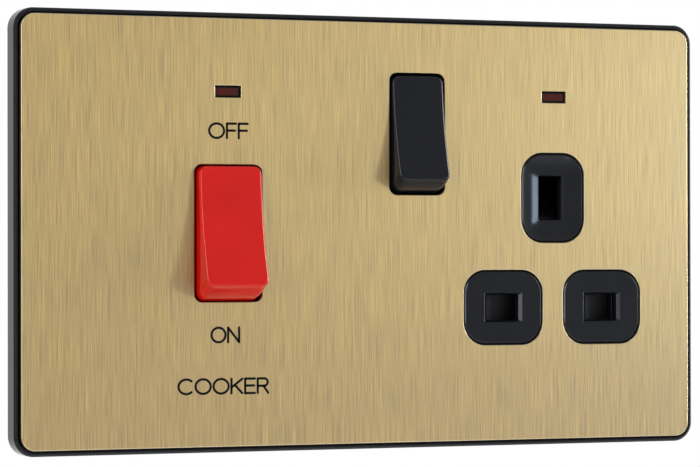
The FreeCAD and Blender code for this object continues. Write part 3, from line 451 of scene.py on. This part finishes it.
plateSizes = {
    "corner": 2.75 * mm,
    "edge": 0.16 * mm,
    "edgeSteps": 2,
    "curveSteps": 10,
    "circleHandle": 0.5523,                                 # makes each corner a quarter circle
    "socketX": 40.75 * mm,
    "pinRowZ": -15.1 * mm,
    "pinSpacing": 22.23 * mm,
    "pinInsert": (17.66 * mm, 15.16 * mm, 4.78 * mm),       # width, height and corner radius
    "earthInsert": (14.21 * mm, 18.26 * mm, 4.78 * mm),
    "cookerWindow": (-29.66 * mm, -0.2 * mm, 14.05 * mm, 26.8 * mm, 1.5 * mm),  # x and z first
    "switchWindow": (10.66 * mm, 19.73 * mm, 12.0 * mm, 24.35 * mm, 1.6 * mm),
    "neonWindow": (5.42 * mm, 2.33 * mm, 0.12 * mm),        # width, height and corner radius
    "neonPlaces": [(-29.66 * mm, 27.52 * mm), (41.05 * mm, 27.61 * mm)],
    "smoothBelow": 40,
}


def roundedSpline(curve, x, z, width, height, corner):
    handle = corner * plateSizes["circleHandle"]
    points = []
    for index, (right, up) in enumerate([(1, -1), (1, 1), (-1, 1), (-1, -1)]):
        tip = Vector((x + right * width / 2, z + up * height / 2))
        along = Vector((-right * corner, 0)), Vector((0, -up * corner))
        first, second = along if index % 2 == 0 else along[::-1]
        points.append((tip + first, Vector((0, 0)), -first.normalized() * handle))
        points.append((tip + second, -second.normalized() * handle, Vector((0, 0))))
    spline = curve.splines.new("BEZIER")
    spline.bezier_points.add(len(points) - 1)
    spline.use_cyclic_u = True
    for bezier, (place, before, after) in zip(spline.bezier_points, points):
        bezier.co = (*place, 0)
        bezier.handle_left_type = bezier.handle_right_type = "FREE"
        bezier.handle_left = (*(place + before), 0)
        bezier.handle_right = (*(place + after), 0)


def plateOutlines(low, high):
    sizes = plateSizes
    middle = (low + high) / 2
    outlines = [(middle.x, middle.z, high.x - low.x, high.z - low.z, sizes["corner"])]
    outlines += [sizes["cookerWindow"], sizes["switchWindow"]]
    outlines += [(x, z, *sizes["neonWindow"]) for x, z in sizes["neonPlaces"]]
    for side in (-1, 1):
        pinX = sizes["socketX"] + side * sizes["pinSpacing"] / 2
        outlines.append((pinX, sizes["pinRowZ"], *sizes["pinInsert"]))
    earthZ = sizes["pinRowZ"] + sizes["pinSpacing"]
    return outlines + [(sizes["socketX"], earthZ, *sizes["earthInsert"])]


def makeFrontPlate():
    sizes = plateSizes
    low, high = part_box("front_plate")
    curve = bpy.data.curves.new("frontPlate", "CURVE")
    curve.dimensions = "2D"
    curve.fill_mode = "BOTH"
    curve.resolution_u = sizes["curveSteps"]
    for outline in plateOutlines(low, high):
        roundedSpline(curve, *outline)
    curve.bevel_depth = sizes["edge"]
    curve.offset = -sizes["edge"]
    curve.bevel_resolution = sizes["edgeSteps"]
    curve.extrude = (high.y - low.y) / 2 - sizes["edge"]
    mesh = meshFromCurve(curve)
    mesh.name = "frontPlate"
    upright = Matrix.Rotation(math.pi / 2, 4, "X")
    mesh.transform(Matrix.Translation((0, (low.y + high.y) / 2, 0)) @ upright)
    plate = newPiece("frontPlate", mesh, "brushed_plate")
    smoothByAngle(plate, sizes["smoothBelow"])
    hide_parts("front_plate")
    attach(plate, "unit")


makeFrontPlate()
print("front plate made")


# rockers, drawn round their pivot in millimetres

rockerSizes = {
    "cooker_rocker": {"x": -29.66, "z": -0.2, "tilt": 10.75, "width": 13.0, "endRadius": 13.5,
                      "face": 6.65, "faceHalf": 11.98, "pins": 8.5, "tubes": (-3.6, 3.6),
                      "finish": "red_rocker"},
    "socket_rocker": {"x": 10.66, "z": 19.73, "tilt": 10.6, "width": 11.1, "endRadius": 12.15,
                      "face": 5.45, "faceHalf": 10.75, "pins": 7.48, "tubes": (0.0,),
                      "finish": "black_rocker"},
    "pivotY": -1.35,            # the same for both rockers, like all below
    "hollow": 76.0,             # radius of the hollow face
    "fillet": 0.7,
    "filletSteps": 9,
    "corner": 1.6,
    "leastCorner": 0.02,
    "cornerSteps": 8,
    "straightSteps": 10,
    "faceRings": (0.06, 0.2, 0.4, 0.6, 0.8, 0.93),
    "sideRings": 14,
    "back": 1.5,
    "wall": 1.3,
    "faceWall": 1.7,
    "tubeHalf": 2.4,
    "tubeEnd": 7.0,
    "boreRadius": 1.7,
    "boreBottom": -1.5,
    "pinRadius": 1.5,
    "pinRoot": 0.6,             # how deep a pin sits in the side wall
    "sink": 0.1,                # of the inner pieces into the walls round them
    "overcut": 1.0,             # of a cutting tool past the surface
    "toolSides": 40,
    "smoothBelow": 40,
}


def roundedOutline(halfX, halfZ, corner):
    corner = max(corner, rockerSizes["leastCorner"])
    cornerSteps, straightSteps = rockerSizes["cornerSteps"], rockerSizes["straightSteps"]
    quarters = ((1, 1), (-1, 1), (-1, -1), (1, -1))

    def cornerPoint(quarter, turn):
        right, up = quarters[quarter % 4]
        return (right * (halfX - corner) + corner * math.cos(turn),
                up * (halfZ - corner) + corner * math.sin(turn))

    points = []
    for quarter in range(4):
        for step in range(cornerSteps + 1):
            points.append(cornerPoint(quarter, math.pi / 2 * (quarter + step / cornerSteps)))
        start = points[-1]
        end = cornerPoint(quarter + 1, math.pi / 2 * (quarter + 1))
        for step in range(1, straightSteps):
            share = step / straightSteps
            points.append((start[0] + (end[0] - start[0]) * share,
                           start[1] + (end[1] - start[1]) * share))
    return points


def joinRings(shape, first, second):
    count = len(first)
    for index in range(count):
        after = (index + 1) % count
        shape.faces.new((first[index], first[after], second[after], second[index]))


def rockerRings(sizes):         # from the middle of the face over the fillet and down the sides
    common = rockerSizes
    half, tip = sizes["width"] / 2, sizes["faceHalf"]
    fillet, corner, back = common["fillet"], common["corner"], common["back"]

    def faceY(z):
        return -(sizes["face"] + common["hollow"]) + math.sqrt(common["hollow"] ** 2 - z * z)

    def endZ(y):
        return max(tip, math.sqrt(max(sizes["endRadius"] ** 2 - y * y, 0)))

    rings = []
    inner = roundedOutline(half - fillet, tip - fillet, corner - fillet)
    for share in common["faceRings"]:
        rings.append([(x * share, faceY(z * share), z * share) for x, z in inner])
    for step in range(common["filletSteps"], -1, -1):
        turn = math.pi / 2 * step / common["filletSteps"]
        inset = fillet * (1 - math.cos(turn))
        drop = fillet * (1 - math.sin(turn))
        loop = roundedOutline(half - inset, tip - inset, corner - inset)
        rings.append([(x, faceY(z) + drop, z) for x, z in loop])
    top = [(x, faceY(z) + fillet, z) for x, z in roundedOutline(half, tip, corner)]
    for step in range(1, common["sideRings"] + 1):
        share = step / common["sideRings"]
        levels = [y + (back - y) * share for x, y, z in top]
        rings.append([(x, level, z * endZ(level) / tip) for (x, y, z), level in zip(top, levels)])
    return rings, (0, faceY(0), 0)


def rockerShell(sizes):
    shape = bmesh.new()
    rings, centre = rockerRings(sizes)
    made = [[shape.verts.new(point) for point in ring] for ring in rings]
    for first, second in zip(made, made[1:]):
        joinRings(shape, first, second)
    middle = shape.verts.new(centre)
    innermost = made[0]
    for here, after in zip(innermost, innermost[1:] + innermost[:1]):
        shape.faces.new((middle, here, after))
    shape.faces.new(made[-1][::-1])
    return shape


def toolBlock(low, high):
    shape = bmesh.new()
    bmesh.ops.create_cube(shape, size=1.0)
    middle = [(a + b) / 2 for a, b in zip(low, high)]
    bmesh.ops.scale(shape, vec=[b - a for a, b in zip(low, high)], verts=shape.verts[:])
    bmesh.ops.translate(shape, vec=middle, verts=shape.verts[:])
    return pieceFromBmesh("tool", shape, "black_rocker")


def toolRod(radius, start, end):
    shape = bmesh.new()
    run = Vector(end) - Vector(start)
    bmesh.ops.create_cone(shape, cap_ends=True, segments=rockerSizes["toolSides"],
                          radius1=radius, radius2=radius, depth=run.length)
    turn = run.to_track_quat("Z", "Y").to_matrix().to_4x4()
    place = Matrix.Translation((Vector(start) + Vector(end)) / 2) @ turn
    bmesh.ops.transform(shape, matrix=place, verts=shape.verts[:])
    return pieceFromBmesh("tool", shape, "black_rocker")


def combine(piece, tools, operation):
    for tool in tools:
        step = piece.modifiers.new("cut", "BOOLEAN")
        step.operation = operation
        step.solver = "EXACT"
        step.object = tool
    mesh = finalMesh(piece)
    piece.modifiers.clear()
    piece.data = mesh
    for tool in tools:
        bpy.data.objects.remove(tool)


def rockerPlace(node):          # from the rocker's own millimetres to the frame's
    sizes = rockerSizes[node]
    turn = Matrix.Rotation(math.radians(-sizes["tilt"]), 4, "X")
    return Matrix.Translation((sizes["x"], rockerSizes["pivotY"], sizes["z"])) @ turn


def makeRocker(node):
    sizes, common = rockerSizes[node], rockerSizes
    wall, back, sink = common["wall"], common["back"], common["sink"]
    half, inside = sizes["width"] / 2, sizes["width"] / 2 - wall
    ceiling = -(sizes["face"] - common["faceWall"])
    reach = sizes["endRadius"] - 2 * wall
    side, tubeEnd, past = common["tubeHalf"], common["tubeEnd"], common["overcut"]
    rocker = pieceFromBmesh(camelName(node), rockerShell(sizes), sizes["finish"])
    hollow = toolBlock((-inside, ceiling, -reach), (inside, back + past, reach))
    combine(rocker, [hollow], "DIFFERENCE")
    parts = [toolBlock((-inside - sink, ceiling - sink, -wall / 2),
                       (inside + sink, back, wall / 2))]
    for x in sizes["tubes"]:
        parts.append(toolBlock((x - side, ceiling - sink, -side), (x + side, tubeEnd, side)))
    for way in (-1, 1):
        root, end = way * (half - common["pinRoot"]), way * sizes["pins"]
        parts.append(toolRod(common["pinRadius"], (root, 0, 0), (end, 0, 0)))
    combine(rocker, parts, "UNION")
    bores = [toolRod(common["boreRadius"], (x, common["boreBottom"], 0), (x, tubeEnd + past, 0))
             for x in sizes["tubes"]]
    combine(rocker, bores, "DIFFERENCE")
    rocker.data.transform(Matrix.Scale(mm, 4) @ rockerPlace(node))
    dressMesh(rocker.data, sizes["finish"])
    smoothByAngle(rocker, common["smoothBelow"])
    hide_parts(node)
    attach(rocker, node)
    print("rocker made:", rocker.name, len(rocker.data.polygons), "faces")


makeRocker("cooker_rocker")
makeRocker("socket_rocker")


# coil springs of round wire, in millimetres

springSizes = {
    "shutter": {"radius": 2.0, "wire": 0.45, "coils": 6, "length": 11.4, "travel": 6.2,
                "foot": (40.75, 1.2, -31.4)},
    "plunger": {"radius": 1.3, "wire": 0.35, "coils": 4, "length": 4.7, "travel": 0.6},
    "stepsPerCoil": 20,
    "wireSteps": 2,
    "smoothBelow": 60,
}
plungerSprings = [
    {"node": "cooker_line_plunger_spring", "rocker": "cooker_rocker", "tube": 0,
     "joint": "cooker_line_plunger_slide"},
    {"node": "cooker_neutral_plunger_spring", "rocker": "cooker_rocker", "tube": 1,
     "joint": "cooker_neutral_plunger_slide"},
    {"node": "socket_plunger_spring", "rocker": "socket_rocker", "tube": 0,
     "joint": "socket_plunger_slide"},
]


def coilMesh(name, sizes):
    curve = bpy.data.curves.new(name, "CURVE")
    curve.dimensions = "3D"
    curve.bevel_depth = sizes["wire"] / 2
    curve.bevel_resolution = springSizes["wireSteps"]
    curve.use_fill_caps = True
    steps = sizes["coils"] * springSizes["stepsPerCoil"]
    spline = curve.splines.new("POLY")
    spline.points.add(steps)
    for index, point in enumerate(spline.points):
        turn = 2 * math.pi * index / springSizes["stepsPerCoil"]
        height = sizes["wire"] / 2 + (sizes["length"] - sizes["wire"]) * index / steps
        point.co = (sizes["radius"] * math.cos(turn), sizes["radius"] * math.sin(turn), height, 1)
    return meshFromCurve(curve)


def makeSpring(node, sizes, place, body):
    mesh = coilMesh(node, sizes)
    mesh.transform(Matrix.Scale(mm, 4) @ place)
    spring = newPiece(camelName(node), mesh, "spring_steel")
    smoothByAngle(spring, springSizes["smoothBelow"])
    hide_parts(node)
    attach(spring, body)
    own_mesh(spring)


def makeSprings():
    shutter = springSizes["shutter"]
    place = Matrix.Translation(shutter["foot"])
    makeSpring("shutter_spring", shutter, place, "unit")
    upright = Matrix.Rotation(math.radians(-90), 4, "X")
    for row in plungerSprings:
        x = rockerSizes[row["rocker"]]["tubes"][row["tube"]]
        foot = Matrix.Translation((x, rockerSizes["boreBottom"], 0))
        place = rockerPlace(row["rocker"]) @ foot @ upright
        makeSpring(row["node"], springSizes["plunger"], place, row["rocker"])


makeSprings()
print("springs made:", 1 + len(plungerSprings))


# printed words, drawn with a round-ended pen

letterStyle = {
    "cap": 3.3 * mm,
    "pen": 0.235 * mm,          # half the width of a stroke
    "ink": 0.012 * mm,
    "gap": 0.165,               # between letters, as a share of the cap height
    "capSteps": 8,
    "closeEnough": 1e-9,
}
words = {
    "wordOff": {"text": "OFF", "x": -29.63 * mm, "z": 19.83 * mm, "width": 8.5 * mm},
    "wordOn": {"text": "ON", "x": -30.35 * mm, "z": -20.04 * mm, "width": 6.2 * mm},
    "wordCooker": {"text": "COOKER", "x": -30.73 * mm, "z": -30.05 * mm, "width": 19.1 * mm},
}
letterWidths = {"O": 0.86, "F": 0.52, "N": 0.68, "C": 0.80, "K": 0.62, "E": 0.56, "R": 0.60}


def arc(centreX, centreZ, radiusX, radiusZ, start, end, steps):
    turns = [math.radians(start + (end - start) * step / steps) for step in range(steps + 1)]
    return [(centreX + radiusX * math.cos(turn), centreZ + radiusZ * math.sin(turn))
            for turn in turns]


def letterStrokes(letter):      # as shares of the cap height, from the letter's lower left corner
    wide = letterWidths[letter]
    stem = [(0, 0), (0, 1)]
    if letter == "O":
        return [arc(wide / 2, 0.5, wide / 2, 0.5, 0, 360, 48)]
    if letter == "C":
        return [arc(wide * 0.55, 0.5, wide * 0.55, 0.5, 48, 312, 40)]
    if letter == "F":
        return [stem, [(0, 1), (wide, 1)], [(0, 0.52), (wide * 0.9, 0.52)]]
    if letter == "E":
        return [stem, [(0, 1), (wide, 1)], [(0, 0.52), (wide * 0.92, 0.52)], [(0, 0), (wide, 0)]]
    if letter == "N":
        return [stem, [(0, 1), (wide, 0)], [(wide, 0), (wide, 1)]]
    if letter == "K":
        return [stem, [(wide, 1), (0, 0.40)], [(wide * 0.30, 0.585), (wide, 0)]]
    bowl = arc(wide * 0.60, 0.745, wide * 0.36, 0.255, 90, -90, 24)
    return [stem, [(0, 1)] + bowl + [(0, 0.49)], [(wide * 0.55, 0.49), (wide, 0)]]


def roundCap(end, before, pen):             # half circle round the end of a stroke
    run = (end - before).normalized()
    base = math.atan2(run.y, run.x) - math.pi / 2
    steps = letterStyle["capSteps"]
    turns = [base + math.pi * step / steps for step in range(1, steps)]
    return [end + Vector((math.cos(turn), math.sin(turn))) * pen for turn in turns]


def inkRing(shape, left, right, front, back):
    rings = [[shape.verts.new((p.x, y, p.y)) for p in side[:-1]] for side, y in
             ((left, front), (right, front), (right, back), (left, back))]
    for index in range(4):
        joinRings(shape, rings[index], rings[(index + 1) % 4])


def inkBar(shape, outline, front, back):
    ringFront = [shape.verts.new((p.x, front, p.y)) for p in outline]
    ringBack = [shape.verts.new((p.x, back, p.y)) for p in outline]
    shape.faces.new(ringFront)
    shape.faces.new(ringBack[::-1])
    joinRings(shape, ringBack, ringFront)


def inkStroke(shape, points, front, back):
    pen = letterStyle["pen"]
    path = [Vector(point) for point in points]
    closed = (path[0] - path[-1]).length < letterStyle["closeEnough"]
    last = len(path) - 1
    left, right = [], []
    for index, point in enumerate(path):
        before = path[index - 1] if index > 0 else (path[-2] if closed else point)
        after = path[index + 1] if index < last else (path[1] if closed else point)
        run = (after - before).normalized()
        side = Vector((-run.y, run.x)) * pen
        left.append(point + side)
        right.append(point - side)
    if closed:
        inkRing(shape, left, right, front, back)
    else:
        startCap, endCap = roundCap(path[0], path[1], pen), roundCap(path[-1], path[-2], pen)
        inkBar(shape, right + endCap + left[::-1] + startCap, front, back)


def makeWord(name, text, x, z, width):
    style = letterStyle
    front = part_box("front_plate")[0].y - style["ink"]
    back = front + 2 * style["ink"]
    drawn = sum(letterWidths[letter] for letter in text) + style["gap"] * (len(text) - 1)
    height = style["cap"] - 2 * style["pen"]
    stretch = (width - 2 * style["pen"]) / drawn
    left, bottom = x - width / 2 + style["pen"], z - height / 2
    shape = bmesh.new()
    for letter in text:
        for stroke in letterStrokes(letter):
            points = [(left + u * stretch, bottom + v * height) for u, v in stroke]
            inkStroke(shape, points, front, back)
        left += (letterWidths[letter] + style["gap"]) * stretch
    piece = pieceFromBmesh(name, shape, "printed_ink")
    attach(piece, "unit")


for name, word in words.items():
    makeWord(name, **word)
print("words printed:", len(words))


# floor, lights and camera

studio = {
    "floorDrop": 0.30,          # below the lowest point
    "floorSize": 3.0,
    "floorColours": ((0.90, 0.90, 0.90), (0.92, 0.92, 0.92)),
    "floorClouds": 3.0,
    "floorRoughness": 0.8,
    "floorLift": 0.50,          # added for the camera, so that the lit floor is white
    "ambient": 0.55,
    "lampDistance": 0.9,
    "lamps": [                  # azimuths in degrees to the right of the front
        {"name": "keyRight", "azimuth": 45, "elevation": 4, "size": (0.15, 0.16), "power": 1.5,
         "colour": (0.80, 1.0, 1.26)},
        {"name": "stripRight", "azimuth": 78, "elevation": 18, "size": (0.16, 0.60), "power": 1.6},
        {"name": "stripLeft", "azimuth": -60, "elevation": 14, "size": (0.20, 0.80), "power": 6.0},
        {"name": "rimRight", "azimuth": 86, "elevation": 8, "size": (0.24, 0.50), "power": 7.0},
        {"name": "above", "azimuth": -10, "elevation": 58, "size": (0.40, 0.12), "power": 0.9},
    ],
    "lowLamp": {"name": "below", "place": (0.0, -0.32, -0.24), "size": (0.40, 0.03), "power": 0.36},
}
cameraView = {
    "place": (-0.256488, -0.612709, -0.005431),
    "yaw": 22.5632,             # towards the right, from straight into the wall
    "pitch": 0.4553,
    "roll": -0.1026,
    "focalPixels": 3318.46,
    "imageWidth": 700,
    "sensor": 36.0,
    "clip": (0.01, 20.0),
}


def backgroundRays(tree):       # 1 where the camera, a mirror or glass sees the backdrop
    path = addNode(tree, "ShaderNodeLightPath").outputs
    either = maths(tree, "MAXIMUM", [path["Is Camera Ray"], path["Is Glossy Ray"]])
    return maths(tree, "MAXIMUM", [either, path["Is Transmission Ray"]])


def makeWorld():
    world = bpy.data.worlds.new("studio")
    world.use_nodes = True
    bpy.context.scene.world = world
    tree = world.node_tree
    background = tree.nodes["Background"]
    background.inputs["Color"].default_value = (1, 1, 1, 1)
    level = spread(tree, backgroundRays(tree), studio["ambient"], 1.0, 0.0, 1.0)
    tree.links.new(level, background.inputs["Strength"])


def makeFloor():
    half = studio["floorSize"] / 2
    level = cadLow.z - studio["floorDrop"]
    mesh = bpy.data.meshes.new("floor")
    corners = [(x * half, y * half, level) for x, y in ((-1, -1), (1, -1), (1, 1), (-1, 1))]
    mesh.from_pydata(corners, [], [(0, 1, 2, 3)])
    material, tree, shader = newMaterial("paleFloor")
    cloud = evenNoise(tree, studio["floorClouds"])
    tree.links.new(tinted(tree, cloud, *studio["floorColours"]), shader.inputs["Base Color"])
    shader.inputs["Roughness"].default_value = studio["floorRoughness"]
    shader.inputs["Emission Color"].default_value = (1, 1, 1, 1)
    lift = spread(tree, backgroundRays(tree), 0.0, studio["floorLift"], 0.0, 1.0)
    tree.links.new(lift, shader.inputs["Emission Strength"])
    mesh.materials.append(material)
    floor = bpy.data.objects.new("floor", mesh)
    bpy.context.scene.collection.objects.link(floor)


def towards(yaw, pitch):        # from straight into the wall, yaw to the right and pitch upwards
    reach = math.cos(pitch)
    return Vector((math.sin(yaw) * reach, math.cos(yaw) * reach, math.sin(pitch)))


def makeLamp(name, place, size, power, colour=(1.0, 1.0, 1.0)):
    light = bpy.data.lights.new(name, "AREA")
    light.shape = "RECTANGLE"
    light.size, light.size_y = size
    light.energy = power
    light.color = colour
    holder = bpy.data.objects.new(name, light)
    holder.location = place
    holder.rotation_euler = (-Vector(place)).to_track_quat("-Z", "Y").to_euler()
    bpy.context.scene.collection.objects.link(holder)


def makeLamps():
    for lamp in studio["lamps"]:
        ahead = towards(math.radians(180 - lamp["azimuth"]), math.radians(lamp["elevation"]))
        rest = {key: lamp[key] for key in ("size", "power", "colour") if key in lamp}
        makeLamp(lamp["name"], ahead * studio["lampDistance"], **rest)
    makeLamp(**studio["lowLamp"])


def makeCamera():
    view = cameraView
    yaw, pitch, roll = (math.radians(view[key]) for key in ("yaw", "pitch", "roll"))
    ahead = towards(yaw, pitch)
    level = Vector((math.cos(yaw), -math.sin(yaw), 0))
    above = level.cross(ahead)
    right = level * math.cos(roll) + above * math.sin(roll)
    up = above * math.cos(roll) - level * math.sin(roll)
    data = bpy.data.cameras.new("camera")
    data.sensor_width = view["sensor"]
    data.lens = view["focalPixels"] * view["sensor"] / view["imageWidth"]
    data.clip_start, data.clip_end = view["clip"]
    camera = bpy.data.objects.new("camera", data)
    turn = Matrix((right, up, -ahead)).transposed().to_4x4()
    camera.matrix_world = Matrix.Translation(view["place"]) @ turn
    bpy.context.scene.collection.objects.link(camera)
    bpy.context.scene.camera = camera


makeWorld()
makeFloor()
makeLamps()
makeCamera()
bpy.context.scene.view_settings.view_transform = "Standard"
print("studio set up")
